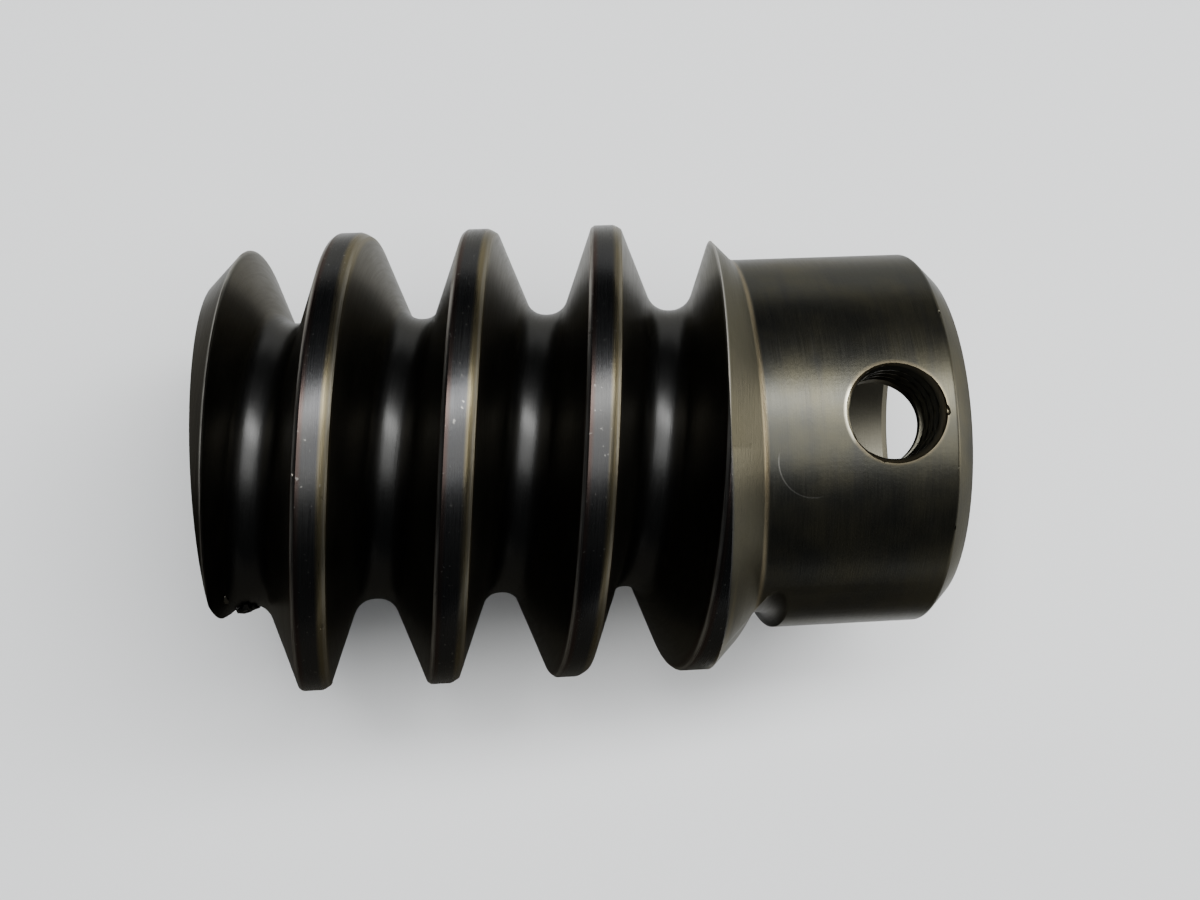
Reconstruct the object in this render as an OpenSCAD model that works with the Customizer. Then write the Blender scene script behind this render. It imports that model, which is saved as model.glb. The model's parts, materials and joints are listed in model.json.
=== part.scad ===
/* [Thread] */
// Axial module of the thread; the pitch is module times pi
axial_module = 2; // [1.5:0.25:3]
// Pitch diameter of the worm
pitch_d = 18.9; // [18.4:0.1:21]
// Half angle of the thread flanks, in degrees
flank_angle = 20; // [14.5:0.5:22]
// Width of the thread crest, measured along the axis
crest_w = 1.4; // [1:0.1:2]
// Length of the threaded stretch with its two end cones
thread_l = 25.7; // [20:0.1:32]
// Diameter of the flat face at the thread's free end
thread_end_d = 18.2; // [16:0.1:19]
// Where the groove crosses the top line of the worm, from the thread's mid-plane
groove_phase_x = 2.2; // [0:0.1:6]

/* [Hub] */
// Diameter of the plain hub
hub_d = 19; // [18.5:0.1:20]
// Length of the plain hub
hub_l = 9.9; // [8:0.1:16]
// Chamfer on the hub's end face
hub_chamfer = 1; // [0.4:0.1:1.2]

/* [Bore] */
// Diameter of the shaft bore
bore_d = 11; // [8:0.5:12]
// Chamfer at both mouths of the bore
bore_chamfer = 0.4; // [0.2:0.1:0.5]

/* [Set screw] */
// Diameter of the tapped cross hole at its thread crests
screw_hole_d = 4.2; // [3.3:0.1:5]
// Distance from the hub's end face to the cross hole
screw_hole_inset = 3.8; // [3.2:0.1:6]
// Length of the grub screw
screw_l = 4; // [3:0.5:5]
// How far the screw's cup point stands back from the bore wall
screw_setback = 0.1; // [0.1:0.05:0.6]
// Size across the flats of the hex socket
socket_af = 2.5; // [1.5:0.1:2.6]

/* [Hidden] */
fine = 96;
pitch = PI * axial_module;
addendum = axial_module;
dedendum = 1.2 * axial_module;
outer_r = pitch_d / 2 + addendum;
root_r = pitch_d / 2 - dedendum;
hub_r = hub_d / 2;
bore_r = bore_d / 2;
half_thread = thread_l / 2;
hub_end_x = half_thread + hub_l;
screw_x = hub_end_x - screw_hole_inset;
// Both end cones fall at 45 degrees, one to the hub and one to the free end's face
hub_cone_l = outer_r - hub_r;
end_r = thread_end_d / 2;
end_cone_l = outer_r - end_r;
screw_clearance = 0.05;
screw_r = screw_hole_d / 2 - screw_clearance;
cut_over = 0.5;

// The groove is one left-hand sweep: it starts beyond the thread end and runs out into the hub
steps_per_turn = 60;
step_angle = 360 / steps_per_turn;
groove_top_r = outer_r + cut_over;
root_half_w = (pitch - crest_w) / 2 - (outer_r - root_r) * tan(flank_angle);
top_half_w = root_half_w + (groove_top_r - root_r) * tan(flank_angle);
start_turns = -(half_thread + top_half_w + groove_phase_x) / pitch;
start_step = floor(start_turns * steps_per_turn);
// The cutter begins to lift behind the worm and is clear of the hub before it comes round to the top
lift_start_angle = 570;
lift_end_angle = 672;
lift_clear = 0.15;
end_step = ceil(lift_end_angle / step_angle);

function lift(angle) =
    (hub_r + lift_clear - root_r)
    * max(0, min(1, (angle - lift_start_angle) / (lift_end_angle - lift_start_angle)));
function around(x, r, angle) = [x, r * sin(angle), r * cos(angle)];
function groove_section(angle) =
    let (
        x = groove_phase_x + pitch * angle / 360,
        floor_r = root_r + lift(angle),
        wide = root_half_w + (groove_top_r - floor_r) * tan(flank_angle)
    )
    [
        around(x - root_half_w, floor_r, angle),
        around(x + root_half_w, floor_r, angle),
        around(x + wide, groove_top_r, angle),
        around(x - wide, groove_top_r, angle)
    ];

module groove() {
    sections = [for (i = [start_step : end_step]) groove_section(i * step_angle)];
    points = [for (section = sections) each section];
    corners = 4;
    last = len(sections) - 1;
    sides = [
        for (i = [0 : last - 1], k = [0 : corners - 1])
            let (
                a = i * corners + k,
                b = i * corners + (k + 1) % corners,
                c = b + corners,
                d = a + corners
            )
            each [[a, b, c], [a, c, d]]
    ];
    first_cap = [[0, 2, 1], [0, 3, 2]];
    e = last * corners;
    last_cap = [[e, e + 1, e + 2], [e, e + 2, e + 3]];
    polyhedron(points = points, faces = concat(sides, first_cap, last_cap), convexity = 10);
}

// The turned outline, drawn as radius against length and then laid along X
module blank() {
    outline = [
        [0, -half_thread],
        [end_r, -half_thread],
        [outer_r, -half_thread + end_cone_l],
        [outer_r, half_thread - hub_cone_l],
        [hub_r, half_thread],
        [hub_r, hub_end_x - hub_chamfer],
        [hub_r - hub_chamfer, hub_end_x],
        [0, hub_end_x]
    ];
    rotate([0, 90, 0]) rotate_extrude($fn = fine) polygon(outline);
}

module shaft_bore() {
    mouth_r = bore_r + bore_chamfer + cut_over;
    bore_l = thread_l + hub_l + 2 * cut_over;
    translate([-half_thread - cut_over, 0, 0])
        rotate([0, 90, 0]) cylinder(r = bore_r, h = bore_l, $fn = fine);
    translate([-half_thread - cut_over, 0, 0]) rotate([0, 90, 0])
        cylinder(r1 = mouth_r, r2 = bore_r, h = mouth_r - bore_r, $fn = fine);
    translate([hub_end_x + cut_over, 0, 0]) rotate([0, -90, 0])
        cylinder(r1 = mouth_r, r2 = bore_r, h = mouth_r - bore_r, $fn = fine);
}

// One hole drilled and tapped straight across the hub, through both walls
module cross_hole() {
    translate([screw_x, 0, -hub_r - cut_over])
        cylinder(d = screw_hole_d, h = 2 * (hub_r + cut_over), $fn = fine);
}

module worm() {
    color([0.30, 0.29, 0.25])
    difference() {
        blank();
        groove();
        shaft_bore();
        cross_hole();
    }
}

// A cup-point grub screw in the far wall; its socket opens downwards, away from the shaft
module grub_screw() {
    point_l = 0.7;
    point_r = 1.25;
    cup_r = 0.8;
    cup_depth = 0.35;
    socket_depth = 2;
    end_chamfer = 0.4;
    tip_z = -bore_r - screw_setback;
    profile = [
        [0, -screw_l],
        [screw_r - end_chamfer, -screw_l],
        [screw_r, -screw_l + end_chamfer],
        [screw_r, -point_l],
        [point_r, 0],
        [cup_r, 0],
        [0, -cup_depth]
    ];
    color([0.16, 0.16, 0.17])
    translate([screw_x, 0, tip_z])
    difference() {
        rotate_extrude($fn = fine) polygon(profile);
        translate([0, 0, -screw_l - cut_over])
            cylinder(d = socket_af / cos(30), h = socket_depth + cut_over, $fn = 6);
    }
}

worm();
grub_screw();
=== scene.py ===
"""A hardened steel worm: left-hand thread, plain hub, through bore, tapped cross hole and grub screw."""

import json
import math
import random
from types import SimpleNamespace

import bpy
import bmesh
from mathutils import Matrix, Vector, noise


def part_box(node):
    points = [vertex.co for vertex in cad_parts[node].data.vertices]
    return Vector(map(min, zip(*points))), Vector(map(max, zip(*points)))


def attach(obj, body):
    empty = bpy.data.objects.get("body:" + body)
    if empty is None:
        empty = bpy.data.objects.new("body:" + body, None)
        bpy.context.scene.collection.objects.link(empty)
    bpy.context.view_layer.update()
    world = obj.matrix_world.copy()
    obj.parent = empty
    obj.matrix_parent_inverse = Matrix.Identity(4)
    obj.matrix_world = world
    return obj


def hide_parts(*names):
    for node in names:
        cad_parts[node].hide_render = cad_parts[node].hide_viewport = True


MM = 0.001
TURN = 2 * math.pi

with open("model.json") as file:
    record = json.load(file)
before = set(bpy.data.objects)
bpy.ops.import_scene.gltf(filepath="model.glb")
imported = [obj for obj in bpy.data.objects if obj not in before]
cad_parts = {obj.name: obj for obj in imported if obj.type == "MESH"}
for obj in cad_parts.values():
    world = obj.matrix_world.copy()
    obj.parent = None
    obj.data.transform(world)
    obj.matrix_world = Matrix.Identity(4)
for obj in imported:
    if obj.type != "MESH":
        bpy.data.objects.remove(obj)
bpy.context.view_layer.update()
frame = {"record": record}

# ---------------------------------------------------------------- sizes, in millimetres
worm_low, worm_high = (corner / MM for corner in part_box("worm"))
screw_low, screw_high = (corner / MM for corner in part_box("grub_screw"))
mounts = {mount["name"]: mount for mount in frame["record"]["mounts"]}

OUTER_R = worm_high.z
LEFT_X = worm_low.x
RIGHT_X = worm_high.x
BORE_R = mounts["bore"]["dims"]["r_mm"]
HOLE_R = mounts["set_screw_hole"]["dims"]["r_mm"]
HOLE_X = mounts["set_screw_hole"]["pos_m"][0] / MM

# The rest repeats the CAD source's driving dimensions
AXIAL_MODULE = 2.0
PITCH = math.pi * AXIAL_MODULE
ROOT_R = OUTER_R - 2.2 * AXIAL_MODULE
FLANK = math.tan(math.radians(20))
CREST_W = 1.4
GROOVE_X = 2.2
HUB_R = 9.5
END_R = 9.1
HALF_THREAD = -LEFT_X
HUB_CONE_X = HALF_THREAD - (OUTER_R - HUB_R)
END_CONE_X = LEFT_X + (OUTER_R - END_R)
HUB_CHAMFER = 1.0
BORE_CHAMFER = 0.4
ROOT_HALF_W = (PITCH - CREST_W) / 2 - (OUTER_R - ROOT_R) * FLANK
LIFT_START = math.radians(570)
LIFT_END = math.radians(672)
LIFT_CLEAR = 0.15

# Wear and tooling marks that the CAD leaves out
ROOT_FILLET = 1.1
WORN_DEPTH = 0.22
WORN_W = 0.42
FRESH_DEPTH = 0.13
FRESH_W = 0.2
TAP_PITCH = 0.8
TAP_MAJOR_R = 2.48
SCRATCH_X = 15.05
SCRATCH_Y = -2.05
SCRATCH_R = 1.67

STEPS = 300


# ---------------------------------------------------------------- mesh helpers
def new_object(name, points, faces):
    """An object from points in millimetres, with its faces pointing out."""
    mesh = bpy.data.meshes.new(name)
    mesh.from_pydata([Vector(point) * MM for point in points], [], faces)
    made = bpy.data.objects.new(name, mesh)
    bpy.context.scene.collection.objects.link(made)
    shape = bmesh.new()
    shape.from_mesh(mesh)
    bmesh.ops.recalc_face_normals(shape, faces=shape.faces)
    shape.to_mesh(mesh)
    shape.free()
    return made


def around(x, r, angle):
    """A point at length x and radius r, with angle from the top (+Z) towards +Y."""
    return (x, r * math.sin(angle), r * math.cos(angle))


def rounded(corners, steps=5):
    """A closed outline of (length, radius, corner radius), with each corner rounded by an arc."""
    out = []
    for i, (length, r, corner_r) in enumerate(corners):
        here = Vector((length, r))
        before = Vector(corners[i - 1][:2]) - here
        after = Vector(corners[(i + 1) % len(corners)][:2]) - here
        opening = before.angle(after)
        back = corner_r / math.tan(opening / 2)
        middle = (before.normalized() + after.normalized()).normalized()
        centre = here + middle * (corner_r / math.sin(opening / 2))
        start = here + before.normalized() * back - centre
        end = here + after.normalized() * back - centre
        sweep = start.angle_signed(end)
        for k in range(steps + 1):
            turned = Matrix.Rotation(-sweep * k / steps, 2) @ start
            out.append(tuple(centre + turned))
    return out


def ring_faces(rings, corners, closed=False):
    """Quads between successive rings of points; closed joins the last ring to the first."""
    faces = []
    for i in range(rings if closed else rings - 1):
        for k in range(corners):
            a = i * corners + k
            b = i * corners + (k + 1) % corners
            j = (i + 1) % rings * corners
            faces.append((a, b, j + (k + 1) % corners, j + k))
    return faces


def capped(rings, corners):
    """The faces of a closed tube: its sides and both its ends."""
    last = (rings - 1) * corners
    ends = [tuple(range(corners)), tuple(range(last, last + corners))]
    return ring_faces(rings, corners) + ends


def combine(made, tools, operation="DIFFERENCE"):
    """Cuts the tools from made, or joins them to it, and removes them."""
    for tool in tools:
        modifier = made.modifiers.new("combine", "BOOLEAN")
        modifier.operation = operation
        modifier.solver = "MANIFOLD"
        modifier.object = tool
    graph = bpy.context.evaluated_depsgraph_get()
    mesh = bpy.data.meshes.new_from_object(made.evaluated_get(graph))
    made.modifiers.clear()
    made.data = mesh
    for tool in tools:
        bpy.data.objects.remove(tool)


def smooth(made, sharp_angle):
    """Smooth shading, with edges over sharp_angle degrees left sharp."""
    for polygon in made.data.polygons:
        polygon.use_smooth = True
    made.data.set_sharp_from_angle(angle=math.radians(sharp_angle))


# ---------------------------------------------------------------- the worm
def worm_blank():
    """The turned and bored ring that the thread is cut into."""
    crisp = 0.05
    outline = rounded(
        [
            (LEFT_X, BORE_R + BORE_CHAMFER, crisp),
            (LEFT_X, END_R, 0.1),
            (END_CONE_X, OUTER_R, 0.25),
            (HUB_CONE_X, OUTER_R, crisp),
            (HALF_THREAD, HUB_R, 0.6),
            (RIGHT_X - HUB_CHAMFER, HUB_R, 0.3),
            (RIGHT_X, HUB_R - HUB_CHAMFER, 0.15),
            (RIGHT_X, BORE_R + BORE_CHAMFER, crisp),
            (RIGHT_X - BORE_CHAMFER, BORE_R, crisp),
            (LEFT_X + BORE_CHAMFER, BORE_R, crisp),
        ]
    )
    points = [around(x, r, TURN * i / STEPS) for i in range(STEPS) for x, r in outline]
    return new_object("worm_body", points, ring_faces(STEPS, len(outline), closed=True))


def lift(angle):
    """How far the cutter has drawn back from the root at this angle of the sweep."""
    share = (angle - LIFT_START) / (LIFT_END - LIFT_START)
    return (HUB_R + LIFT_CLEAR - ROOT_R) * max(0.0, min(1.0, share))


def groove_side(floor_r, worn_depth, worn_w):
    """Half of the groove's outline, from its floor to beyond the crest, as (width, radius)."""
    top_r = OUTER_R + 0.6
    fillet_steps, flank_steps = 6, 4
    worn_shares, worn_bend = (0.35, 0.7, 1.0), 1.3
    flank_angle = math.atan(FLANK)
    # the fillet's centre is where its arc meets both the floor and the flank
    centre_w = ROOT_HALF_W + ROOT_FILLET * FLANK - ROOT_FILLET / math.cos(flank_angle)
    side = []
    for k in range(fillet_steps + 1):
        a = (math.pi / 2 - flank_angle) * k / fillet_steps
        side.append((centre_w + ROOT_FILLET * math.sin(a), floor_r + ROOT_FILLET * (1 - math.cos(a))))
    start = Vector(side[-1])
    end_r = max(OUTER_R - worn_depth, start.y + 0.05)
    end = Vector((start.x + (end_r - start.y) * FLANK, end_r))
    side += [tuple(start.lerp(end, k / flank_steps)) for k in range(1, flank_steps + 1)]
    # the worn edge curves over onto the crest
    for share in worn_shares:
        drop = worn_depth * (1 - share) ** worn_bend
        side.append((end.x + worn_w * share, max(OUTER_R - drop, end_r + 0.01 * share)))
    side.append((end.x + worn_w + 0.02, top_r))
    return side


def groove_section(angle):
    """The cutter's outline at one angle. The crest edge that faces the hub is the more worn one."""
    x = GROOVE_X + PITCH * angle / TURN
    floor_r = ROOT_R + lift(angle)
    left = [around(x - w, r, angle) for w, r in groove_side(floor_r, WORN_DEPTH, WORN_W)]
    right = [around(x + w, r, angle) for w, r in groove_side(floor_r, FRESH_DEPTH, FRESH_W)]
    return left[::-1] + right


def thread_groove():
    """One left-hand sweep that starts beyond the thread's end and runs out into the hub."""
    step = TURN / STEPS
    overrun = 3.0
    first = math.floor(-(HALF_THREAD + overrun + GROOVE_X) / PITCH * STEPS)
    last = math.ceil(LIFT_END / step)
    sections = [groove_section(i * step) for i in range(first, last + 1)]
    points = [point for section in sections for point in section]
    return new_object("groove", points, capped(len(sections), len(sections[0])))


def thread_radius(height, angle, low, high, start=0.0):
    """Radius of a small right-hand V thread with flat crests and roots."""
    flat, slope = 0.12, 0.74
    phase = (height / TAP_PITCH - angle / TURN + start) % 1.0
    share = (abs(phase * 2 - 1) - flat) / slope
    return low + (high - low) * max(0.0, min(1.0, share))


def cross_tap(side):
    """The tapped hole through one wall of the hub, as a cutter; side is 1 for the top wall."""
    low, high = BORE_R - 1.2, HUB_R + 0.8
    rings, corners = 120, 84
    thread_start = 0.24
    plain_start = 0.45
    eased = 0.26
    points = []
    for i in range(rings):
        height = low + (high - low) * i / (rings - 1)
        for k in range(corners):
            angle = TURN * k / corners
            radius = thread_radius(height, angle, HOLE_R, TAP_MAJOR_R, thread_start)
            if height < BORE_R + plain_start:
                radius = HOLE_R
            # a light countersink where the hole meets the round hub
            surface = math.sqrt(HUB_R**2 - (HOLE_R * math.sin(angle)) ** 2)
            cone_r = HOLE_R + min(eased, eased + height - surface)
            if cone_r > HOLE_R:
                radius = min(max(radius, cone_r), HOLE_R + eased)
            x = HOLE_X + radius * math.cos(angle)
            points.append((x, radius * math.sin(angle), side * height))
    return new_object("tap", points, capped(rings, corners))


def chip(x, angle, r, size, draw):
    """A small irregular lump, to cut out of the surface or to join to it."""
    lumpiness, lump_scale, most_turn = 0.3, 1.6, 0.5
    shape = bmesh.new()
    bmesh.ops.create_icosphere(shape, subdivisions=2, radius=size)
    stretch = Vector((draw.uniform(0.5, 1.0), draw.uniform(0.8, 1.8), draw.uniform(0.4, 0.8)))
    for vertex in shape.verts:
        rough = 1 + lumpiness * noise.noise(vertex.co * (lump_scale / size) + Vector((x, angle, r)))
        vertex.co = Vector([a * b for a, b in zip(vertex.co, stretch)]) * rough
    turn = Matrix.Rotation(-angle, 4, "X") @ Matrix.Rotation(draw.uniform(-most_turn, most_turn), 4, "Z")
    bmesh.ops.transform(shape, matrix=turn, verts=shape.verts)
    bmesh.ops.translate(shape, vec=Vector(around(x, r, angle)), verts=shape.verts)
    points = [vertex.co.copy() for vertex in shape.verts]
    faces = [tuple(v.index for v in face.verts) for face in shape.faces]
    shape.free()
    return new_object("chip", points, faces)


def crest_edge(turns, side):
    """(x, angle) of a crest's edge, turns along the thread; side is 1 for the edge facing the hub."""
    angle = TURN * (turns % 1.0)
    x = GROOVE_X + PITCH / 2 + PITCH * turns + side * CREST_W / 2
    return x, angle


def nicks():
    """Chips cut along the crest edges, on the hub's rim and at the cross hole's mouth."""
    crest_nicks, hub_side_share, rim_nicks = 26, 0.65, 7
    draw = random.Random(7)
    made = []
    for _ in range(crest_nicks):
        side = 1 if draw.random() < hub_side_share else -1
        x, angle = crest_edge(draw.uniform(-2.6, 1.2), side)
        size = draw.uniform(0.1, 0.19)
        made.append(chip(x, angle, OUTER_R - 0.3 * size, size, draw))
    for _ in range(rim_nicks):
        angle = draw.uniform(0, TURN)
        made.append(chip(RIGHT_X - HUB_CHAMFER, angle, HUB_R, draw.uniform(0.06, 0.12), draw))
    # the two chips that the tap left on the mouth of the open hole
    made.append(chip(HOLE_X - 0.64, -0.225, HUB_R - 0.08, 0.26, draw))
    made.append(chip(HOLE_X + HOLE_R + 0.18, 0.0, HUB_R, 0.2, draw))
    return made


def thread_surface(x, angle):
    """Radius of the threaded part's surface at length x and angle."""
    turns = (x - GROOVE_X) / PITCH - angle / TURN
    off = abs(turns - round(turns)) * PITCH
    groove_r = ROOT_R + max(0.0, off - ROOT_HALF_W) / FLANK
    return min(groove_r, OUTER_R, OUTER_R + x - END_CONE_X)


def burrs():
    """The torn edge where the groove leaves through the thread's left end, on the worm's -Y side."""
    draw = random.Random(3)
    made = []
    # the lumps that show in the outline
    lumps, lumps_start, lumps_length = 28, 0.4, 0.85
    for i in range(lumps):
        x = LEFT_X + lumps_start + lumps_length * i / lumps
        angle = math.radians(draw.uniform(-97, -85))
        size = min(draw.uniform(0.2, 0.48), 0.7 * (x - LEFT_X))
        made.append(chip(x, angle, thread_surface(x, angle) + 0.12 * size, size, draw))
    # smaller ones above them, along the feather edge
    grains = 16
    for _ in range(grains):
        x = LEFT_X + draw.uniform(0.3, 0.7)
        angle = math.radians(draw.uniform(-84, -62))
        made.append(chip(x, angle, thread_surface(x, angle) - 0.02, draw.uniform(0.12, 0.25), draw))
    # a few grains rolled over the first full crest's edge
    rolled = 3
    edge_x, _ = crest_edge(-2.254, 1)
    for _ in range(rolled):
        x = edge_x + draw.uniform(-0.1, 0.07)
        angle = math.radians(draw.uniform(-97, -89))
        made.append(chip(x, angle, OUTER_R - 0.34, draw.uniform(0.13, 0.18), draw))
    return made


def make_worm():
    """The blank with its thread and cross hole cut, its burrs joined on and its nicks cut."""
    made = worm_blank()
    combine(made, [thread_groove(), cross_tap(1), cross_tap(-1)])
    combine(made, burrs(), "UNION")
    combine(made, nicks())
    smooth(made, 24)
    return made


# ---------------------------------------------------------------- the grub screw
def screw_body():
    """The threaded body, point upwards; its thread stays inside the tapped hole's crests."""
    top, bottom = screw_high.z, screw_low.z
    crest_r = (screw_high.x - screw_low.x) / 2 - 0.01
    root_r = crest_r - 0.32
    cup_depth, cup_r, point_r, point_l, rim = 0.35, 0.9, 1.75, 0.7, 0.12
    end_chamfer, point_slope = 0.4, 2.2
    axis_r = 0.02
    corners, body_steps = 72, 74
    # (radius, height), with no radius where the thread sets it
    outline = [(axis_r, top - cup_depth), (cup_r, top), (cup_r + rim, top - 0.03), (point_r, top - rim)]
    for i in range(body_steps + 1):
        height = top - point_l + (bottom - top + point_l) * i / body_steps
        outline.append((None, height))
    outline.append((axis_r, bottom))
    points = []
    for r, height in outline:
        for k in range(corners):
            angle = TURN * k / corners
            radius = r
            if r is None:
                radius = thread_radius(height, angle, root_r, crest_r)
                radius = min(radius, crest_r - end_chamfer + (height - bottom))
                radius = min(radius, point_r + rim + (top - point_l - height) * point_slope)
            points.append((HOLE_X + radius * math.cos(angle), radius * math.sin(angle), height))
    return new_object("grub_screw_body", points, capped(len(outline), corners))


def hexagon_socket():
    """The socket in the screw's lower end, with a chamfered mouth and the drill's tip, as a cutter."""
    bottom = screw_low.z
    across_flats, depth, drill_tip = 2.5, 2.0, 0.5
    corner_r = across_flats / 2 / math.cos(math.pi / 6)
    levels = [
        (corner_r + 0.25, bottom - 0.2),
        (corner_r + 0.1, bottom - 0.001),
        (corner_r, bottom + 0.12),
        (corner_r, bottom + depth),
        (0.05, bottom + depth + drill_tip),
    ]
    points = []
    for r, height in levels:
        for k in range(6):
            angle = TURN * k / 6
            points.append((HOLE_X + r * math.cos(angle), r * math.sin(angle), height))
    return new_object("socket", points, capped(len(levels), 6))


def make_grub_screw():
    """An M5 grub screw: flat point with a shallow cup, and a 2.5 mm hexagon socket."""
    made = screw_body()
    combine(made, [hexagon_socket()])
    smooth(made, 30)
    return made


# ---------------------------------------------------------------- material helpers
class Nodes:
    """A short way to write a material's node tree."""

    def __init__(self, name):
        self.material = bpy.data.materials.new(name)
        self.material.use_nodes = True
        self.tree = self.material.node_tree
        self.shader = self.tree.nodes["Principled BSDF"]

    def put(self, socket, value):
        """Links another node's output to the socket, or sets its number or colour."""
        if isinstance(value, bpy.types.NodeSocket):
            self.tree.links.new(value, socket)
        elif isinstance(value, tuple) and len(value) == 3 and socket.type == "RGBA":
            socket.default_value = (*value, 1)
        else:
            socket.default_value = value

    def math(self, operation, *values):
        node = self.tree.nodes.new("ShaderNodeMath")
        node.operation = operation
        for socket, value in zip(node.inputs, values):
            self.put(socket, value)
        return node.outputs[0]

    def times(self, product, *others):
        for other in others:
            product = self.math("MULTIPLY", product, other)
        return product

    def plus(self, a, b):
        return self.math("ADD", a, b)

    def minus(self, a, b):
        return self.math("SUBTRACT", a, b)

    def distance(self, a, b):
        return self.math("SQRT", self.plus(self.times(a, a), self.times(b, b)))

    def band(self, value, low, high, from_value=0.0, to_value=1.0):
        """Goes smoothly from from_value at low to to_value at high."""
        node = self.tree.nodes.new("ShaderNodeMapRange")
        node.interpolation_type = "SMOOTHSTEP"
        keys = ("Value", "From Min", "From Max", "To Min", "To Max")
        for key, number in zip(keys, (value, low, high, from_value, to_value)):
            self.put(node.inputs[key], number)
        return node.outputs[0]

    def below(self, value, low, high):
        """1 up to low, down to 0 at high."""
        return self.band(value, low, high, 1.0, 0.0)

    def near(self, value, centre, reach):
        """1 where value is at centre, down to 0 at reach away."""
        return self.below(self.math("ABSOLUTE", self.minus(value, centre)), 0.0, reach)

    def mix(self, share, a, b):
        node = self.tree.nodes.new("ShaderNodeMix")
        node.data_type = "RGBA"
        self.put(node.inputs["Factor"], share)
        self.put(node.inputs["A"], a)
        self.put(node.inputs["B"], b)
        return node.outputs["Result"]

    def vector(self, x, y, z):
        node = self.tree.nodes.new("ShaderNodeCombineXYZ")
        for socket, value in zip(node.inputs, (x, y, z)):
            self.put(socket, value)
        return node.outputs[0]

    def noise(self, where, scale, detail=2.0, roughness=0.5):
        node = self.tree.nodes.new("ShaderNodeTexNoise")
        self.put(node.inputs["Vector"], where)
        node.inputs["Scale"].default_value = scale
        node.inputs["Detail"].default_value = detail
        node.inputs["Roughness"].default_value = roughness
        return node.outputs["Fac"]

    def place(self):
        """Object coordinates in millimetres: the vector, and x, y and z."""
        source = self.tree.nodes.new("ShaderNodeTexCoord")
        scale = self.tree.nodes.new("ShaderNodeVectorMath")
        scale.operation = "SCALE"
        self.tree.links.new(source.outputs["Object"], scale.inputs[0])
        scale.inputs["Scale"].default_value = 1 / MM
        parts = self.tree.nodes.new("ShaderNodeSeparateXYZ")
        self.tree.links.new(scale.outputs[0], parts.inputs[0])
        return scale.outputs[0], *parts.outputs

    def bump(self, height, distance, strength):
        node = self.tree.nodes.new("ShaderNodeBump")
        node.inputs["Distance"].default_value = distance * MM
        node.inputs["Strength"].default_value = strength
        self.put(node.inputs["Height"], height)
        self.put(self.shader.inputs["Normal"], node.outputs[0])


# ---------------------------------------------------------------- materials
BLACKENED = (0.046, 0.0457, 0.040)
OLIVE = (0.068, 0.063, 0.044)
GROOVE_TONE = (0.062, 0.057, 0.046)
GROUND = (0.037, 0.037, 0.0385)
BRASSY = (0.110, 0.093, 0.054)
BRIGHT = (0.33, 0.32, 0.29)
ROOT_GREY = (0.032, 0.032, 0.032)
GOLDEN = (0.165, 0.138, 0.088)
PAINTED_GLINT = (0.50, 0.475, 0.36)
PAINTED_SHADE_DARK = (0.022, 0.020, 0.017)
UMBER = (0.050, 0.030, 0.024)
REAMED_AND_PAINTED_LIGHT = (0.092, 0.086, 0.066)
STEEL_SHEEN = (0.56, 0.555, 0.54)
BLACK_OXIDE = (0.035, 0.035, 0.038)
RUBBED_OXIDE = (0.16, 0.155, 0.15)
PAPER_COOL = (0.76, 0.765, 0.77)
PAPER_WARM = (0.80, 0.80, 0.79)
# the shade sheet's tones: painted shade, seen only in the steel's reflections
SHADE_SHEET_DARK = (0.085, 0.081, 0.071)
SHADE_SHEET_LIGHT = (0.115, 0.11, 0.098)


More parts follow.
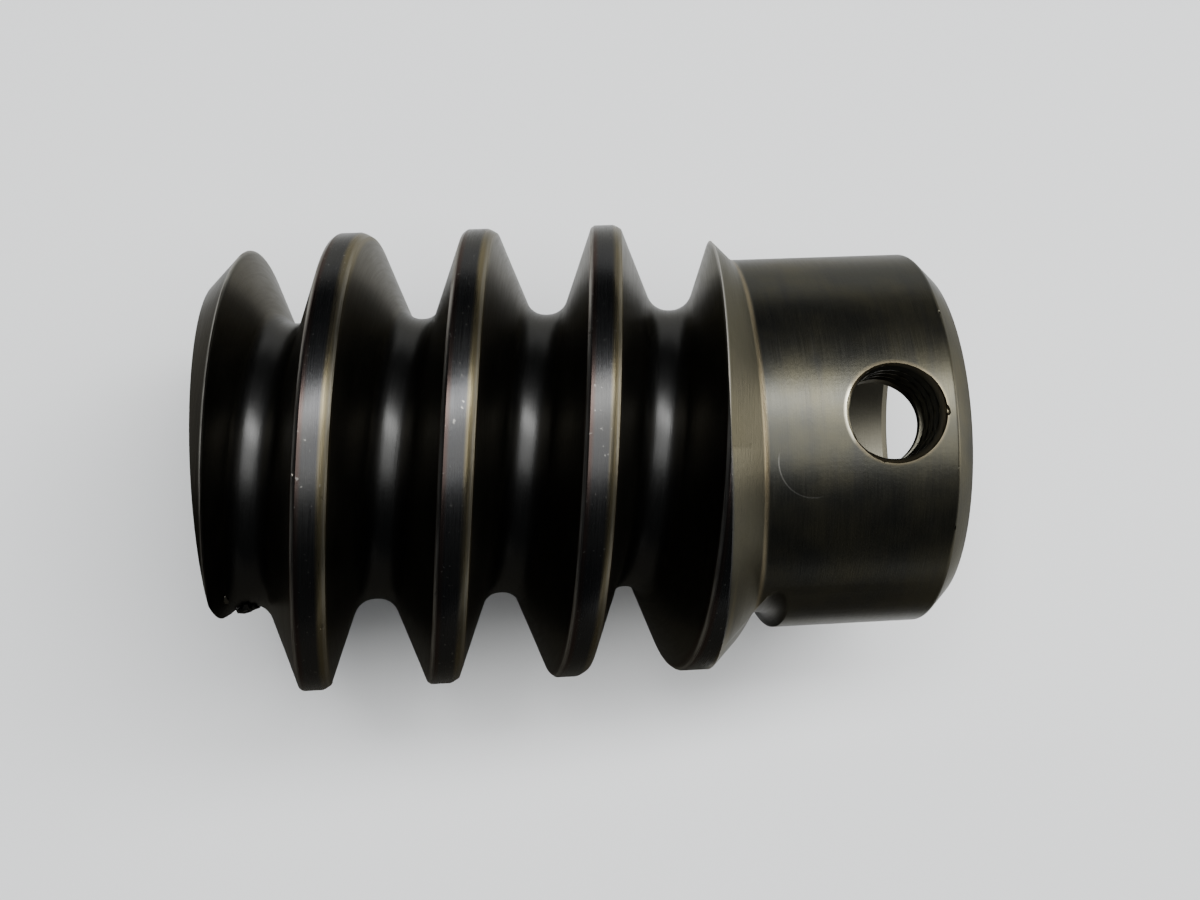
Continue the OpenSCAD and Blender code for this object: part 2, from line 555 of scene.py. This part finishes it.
def thread_zones(n, x, r, along):
    """Masks for the threaded part: its crest, edges, cones, groove, root and run-out."""
    # the groove's share of a pitch, 0 at its centre and 0.5 at the crest's
    phase = n.math("FRACT", along)
    half_w = n.times(n.minus(0.5, n.math("ABSOLUTE", n.minus(phase, 0.5))), PITCH)
    groove_r = n.plus(n.times(n.minus(half_w, ROOT_HALF_W), 1 / FLANK), ROOT_R)

    # the turned blank's radius at x, and how deep the surface lies below it
    hub_cone_r = n.minus(OUTER_R + HUB_CONE_X, x)
    end_cone_r = n.plus(x, OUTER_R - END_CONE_X)
    cones_r = n.math("MINIMUM", hub_cone_r, end_cone_r)
    blank_r = n.math("MAXIMUM", cones_r, n.times(n.band(x, 0, 0.1), HUB_R))
    depth = n.minus(n.math("MINIMUM", blank_r, OUTER_R), r)
    on_blank = n.near(depth, 0.0, 0.3)
    in_thread = n.below(x, HALF_THREAD - 0.1, HALF_THREAD + 0.1)
    out_of_bore = n.band(r, BORE_R + 0.7, BORE_R + 1.0)

    # the worn edges are narrow bands beside the crest, one on each side of it
    hub_side = n.band(phase, 0.5, 0.52)
    edge_off = n.minus(half_w, PITCH / 2 - CREST_W / 2)
    at_edge = n.times(n.below(edge_off, 0.2, 0.42), n.band(r, OUTER_R - 0.5, OUTER_R - 0.3), in_thread)
    off_cone = n.below(x, HUB_CONE_X - 0.1, HUB_CONE_X)
    cone = n.times(n.band(x, HUB_CONE_X, HUB_CONE_X + 0.2), in_thread)
    crossing = n.times(n.near(n.minus(groove_r, r), 0.0, 0.45), on_blank)

    run_out_end = HALF_THREAD + 2.7
    groove = n.times(n.band(depth, 0.15, 0.5), out_of_bore, n.below(x, run_out_end, run_out_end + 0.3))
    run_out = n.times(n.band(depth, 0.03, 0.1), out_of_bore, n.band(x, HALF_THREAD - 0.4, HALF_THREAD))
    return SimpleNamespace(
        in_thread=in_thread,
        land=n.times(n.band(r, OUTER_R - 0.12, OUTER_R - 0.03), in_thread),
        worn=n.times(at_edge, hub_side),
        # the less worn crest edge, away from the hub; worm_steel darkens it with painted shade
        fresh_edge_shade=n.times(at_edge, n.minus(1.0, hub_side), off_cone),
        edge=n.times(crossing, n.minus(in_thread, n.times(cone, hub_side))),
        cone=cone,
        groove=groove,
        root=n.times(groove, n.below(r, ROOT_R + 0.25, ROOT_R + 0.6)),
        # the left end's cone and the run-out notch beside the hub, which worm_steel darkens as painted
        # shade
        end_cone=n.times(on_blank, n.below(x, END_CONE_X, END_CONE_X + 0.3)),
        run_out=n.times(run_out, n.below(x, run_out_end, run_out_end + 0.2)),
    )


def hub_zones(n, x, y, z, r):
    """Masks for the hub: its bore, its junction with the cone, the cross hole's rim, a painted glint on
    the rim's left side and a scratch.
    """
    beside = n.minus(x, HOLE_X)
    rim = n.times(n.near(n.distance(beside, y), HOLE_R + 0.2, 0.22), n.band(r, HUB_R - 0.5, HUB_R - 0.35))
    # the scratch is a quarter of a circle on the top of the hub
    off_x = n.minus(x, SCRATCH_X)
    off_y = n.minus(y, SCRATCH_Y)
    circle = n.near(n.distance(off_x, off_y), SCRATCH_R, 0.05)
    on_top = n.band(z, HUB_R * 0.8, HUB_R * 0.85)
    return SimpleNamespace(
        bore=n.below(r, BORE_R + 0.3, BORE_R + 0.5),
        junction=n.times(n.near(x, HALF_THREAD - 0.02, 0.2), n.band(r, HUB_R - 0.2, HUB_R - 0.05)),
        rim=rim,
        # painted glint: the rim's left side is made pale where a glint catches it
        rim_glint=n.times(rim, n.below(beside, -1.05 * HOLE_R, -0.92 * HOLE_R)),
        scratch=n.times(circle, on_top, n.below(off_x, 0.0, 0.5), n.below(off_y, -0.1, 0.5)),
    )


def tool_marks(n, x, r, angle, along, in_thread):
    """Fine and broad streaks that run along the thread, and round the hub."""
    across = n.plus(n.times(in_thread, n.minus(n.times(along, PITCH), x)), x)
    arc = n.times(angle, 9.0)
    fine = n.noise(n.vector(n.times(across, 9.0), n.times(arc, 0.22), r), 2.2, 4.0, 0.6)
    broad = n.noise(n.vector(n.times(across, 1.6), n.times(arc, 0.16), r), 1.1, 3.0)
    return fine, broad


def worm_steel():
    """Blackened hardened steel: ground crests, brassy worn edges, turning marks and scratches."""
    n = Nodes("worm_steel")
    n.shader.inputs["Metallic"].default_value = 1.0
    n.shader.inputs["Specular Tint"].default_value = (*STEEL_SHEEN, 1)
    where, x, y, z = n.place()
    angle = n.math("ARCTAN2", y, z)
    r = n.distance(y, z)
    along = n.minus(n.times(n.minus(x, GROOVE_X), 1 / PITCH), n.times(angle, 1 / TURN))
    thread = thread_zones(n, x, r, along)
    hub = hub_zones(n, x, y, z, r)
    fine_marks, broad_marks = tool_marks(n, x, r, angle, along, thread.in_thread)
    mottle = n.noise(where, 0.22, 3.0, 0.55)
    grain = n.noise(where, 5.0, 4.0, 0.65)

    worn = n.times(thread.worn, n.band(broad_marks, 0.3, 0.6, 0.35, 1.0))
    patchy_edge = n.times(thread.edge, n.band(fine_marks, 0.35, 0.6, 0.3, 0.9))
    # On the cone beside the hub, the crest's edge line gets BRIGHT at full strength: a painted highlight
    # for a bevel the sharp edge doesn't have. Elsewhere the bright edges are wear.
    edge = n.math("MAXIMUM", patchy_edge, n.times(thread.edge, thread.cone))
    # painted glints: small bright specks scattered over the crest lands
    glint_specks = n.times(n.band(n.noise(where, 5.0, 1.0), 0.70, 0.78), thread.land)
    layers = [
        (n.band(broad_marks, 0.45, 0.75), 0.35, GROUND),
        # one flat tone over the groove and its flanks
        (thread.groove, 0.85, GROOVE_TONE),
        (thread.root, 0.9, ROOT_GREY),
        # the bore's reamed steel is paler, and is lightened further as painted light for the light coming
        # in through its open end
        (hub.bore, 1.0, REAMED_AND_PAINTED_LIGHT),
        # painted shade: the thread's left end cone and the run-out notch beside the hub are darkened
        (thread.end_cone, 0.95, PAINTED_SHADE_DARK),
        (thread.run_out, 0.9, PAINTED_SHADE_DARK),
        (thread.land, 0.85, GROUND),
        (thread.cone, 0.75, OLIVE),
        # the crest edge away from the hub: its own reddish-brown tint, darkened further as painted shade
        (thread.fresh_edge_shade, 0.6, UMBER),
        (worn, 1.0, BRASSY),
        (edge, 1.0, BRIGHT),
        (hub.rim, 0.8, GOLDEN),
        # painted glint on the left side of the cross hole's rim
        (hub.rim_glint, 1.0, PAINTED_GLINT),
        (glint_specks, 0.3, BRIGHT),
        (hub.junction, 0.9, GOLDEN),
        (hub.scratch, 0.28, BRIGHT),
    ]
    colour = n.mix(n.band(mottle, 0.35, 0.68), BLACKENED, OLIVE)
    for mask, strength, over in layers:
        colour = n.mix(n.times(mask, strength), colour, over)
    n.put(n.shader.inputs["Base Color"], colour)

    rough = n.band(fine_marks, 0.25, 0.75, 0.29, 0.35)
    rough = n.plus(rough, n.band(mottle, 0.3, 0.7, -0.02, 0.03))
    rough = n.minus(rough, n.times(thread.land, 0.05))
    rough = n.plus(rough, n.times(hub.bore, 0.12))
    n.put(n.shader.inputs["Roughness"], rough)
    n.bump(n.plus(fine_marks, n.times(grain, 0.7)), 0.008, 0.7)
    return n.material


def screw_steel():
    """Black oxide steel with a fine grain, worn brighter at the thread's crests."""
    n = Nodes("screw_steel")
    n.shader.inputs["Metallic"].default_value = 1.0
    where, x, y, _ = n.place()
    r = n.distance(y, n.minus(x, HOLE_X))
    grain = n.noise(where, 3.5, 4.0, 0.6)
    rub = n.times(n.band(r, HOLE_R - 0.2, HOLE_R - 0.07), n.band(grain, 0.35, 0.6))
    n.put(n.shader.inputs["Base Color"], n.mix(rub, BLACK_OXIDE, RUBBED_OXIDE))
    n.put(n.shader.inputs["Roughness"], n.band(grain, 0.3, 0.7, 0.3, 0.48))
    n.bump(grain, 0.01, 0.7)
    return n.material


def matt(name, noise_scale, dark, light, roughness):
    """A dull surface whose tone drifts between two colours."""
    n = Nodes(name)
    where, *_ = n.place()
    n.put(n.shader.inputs["Base Color"], n.mix(n.noise(where, noise_scale), dark, light))
    n.shader.inputs["Roughness"].default_value = roughness
    return n.material


# ---------------------------------------------------------------- the pieces
worm = make_worm()
worm.data.materials.clear()
worm.data.materials.append(worm_steel())
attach(worm, "worm")
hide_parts("worm")

grub_screw = make_grub_screw()
grub_screw.data.materials.clear()
grub_screw.data.materials.append(screw_steel())
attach(grub_screw, "grub_screw")
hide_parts("grub_screw")


# ---------------------------------------------------------------- floor, camera and light
def sheet(name, outline, level, material):
    """A flat sheet of the outline's (x, y) points, in metres, at one level."""
    mesh = bpy.data.meshes.new(name)
    mesh.from_pydata([(x, y, level) for x, y in outline], [], [tuple(range(len(outline)))])
    mesh.materials.append(material)
    made = bpy.data.objects.new(name, mesh)
    bpy.context.scene.collection.objects.link(made)
    return made


def make_floor():
    """A pale, faintly uneven sheet under the worm."""
    half = 3.0
    outline = [(-half, -half), (half, -half), (half, half), (-half, half)]
    material = matt("floor_paper", 0.03, PAPER_COOL, PAPER_WARM, 0.55)
    floor = sheet("floor", outline, -OUTER_R * MM, material)


def make_shade():
    """A dark sheet on the near floor that only the steel's reflections see: painted shade, standing in
    for a shadowed floor in those reflections.
    """
    under, near, far = -4 * MM, -17 * MM, -0.45
    left, thread_end, right = -0.4, HALF_THREAD * MM, 55 * MM
    clear_of_floor = 0.4
    # it reaches under the thread, and stays out in front of the hub
    outline = [
        (left, under),
        (thread_end, under),
        (thread_end, near),
        (right, near),
        (right, far),
        (left, far),
    ]
    material = matt("shade_card", 0.05, SHADE_SHEET_DARK, SHADE_SHEET_LIGHT, 0.9)
    shade = sheet("shade", outline, -(OUTER_R - clear_of_floor) * MM, material)
    shade.visible_camera = False
    shade.visible_shadow = False
    shade.visible_diffuse = False


def make_camera():
    """Close above the worm, a little off square to the floor and to the worm's axis."""
    tilt, lean, roll = math.radians(7.2), math.radians(-4.25), math.radians(-2.43)
    distance = 72.0
    from_middle = 0.65
    data = bpy.data.cameras.new("camera")
    data.sensor_width = 36
    data.lens = 41.98
    data.clip_start = 0.001
    camera = bpy.data.objects.new("camera", data)
    bpy.context.scene.collection.objects.link(camera)
    facing = Matrix.Rotation(tilt, 4, "X") @ Matrix.Rotation(lean, 4, "Y") @ Matrix.Rotation(roll, 4, "Z")
    place = Vector(around(from_middle, distance, -tilt)) * MM
    camera.matrix_world = Matrix.Translation(place) @ facing
    bpy.context.scene.camera = camera


def area_light(name, direction, distance, size, power, colour):
    """A soft rectangle of light that faces the origin; size is its width and its height, in metres."""
    data = bpy.data.lights.new(name, "AREA")
    data.shape = "RECTANGLE"
    data.size, data.size_y = size
    data.energy = power
    data.color = colour
    light = bpy.data.objects.new(name, data)
    light.visible_camera = False
    bpy.context.scene.collection.objects.link(light)
    away = Vector(direction).normalized()
    # an overhead light's width runs along X, and a low one's is level
    overhead = abs(away.z) >= 0.5
    across = Vector((0, 1, 0) if overhead else (0, 0, 1)).cross(away)
    across.normalize()
    axes = Matrix((across, away.cross(across), away)).transposed()
    light.matrix_world = Matrix.Translation(away * distance) @ axes.to_4x4()


def make_light():
    """A narrow key that throws the short shadow towards -Y, a broad fill overhead, and a low window."""
    cool, warm, sky = (0.97, 0.985, 1.0), (1.0, 0.97, 0.9), (0.85, 0.92, 1.0)
    key, fill = math.radians(19), math.radians(3)
    area_light("key", (0.25, math.sin(key), math.cos(key)), 0.55, (0.75, 0.13), 3.7, cool)
    area_light("fill", (0.2, math.sin(fill), math.cos(fill)), 0.6, (0.8, 0.5), 4.9, cool)
    area_light("right_window", (0.98, 0.08, 0.14), 0.6, (0.3, 0.2), 1.7, warm)
    world = bpy.data.worlds.new("world")
    bpy.context.scene.world = world
    world.use_nodes = True
    background = world.node_tree.nodes["Background"]
    background.inputs["Color"].default_value = (*sky, 1)
    background.inputs["Strength"].default_value = 0.07


make_floor()
make_shade()
make_camera()
make_light()
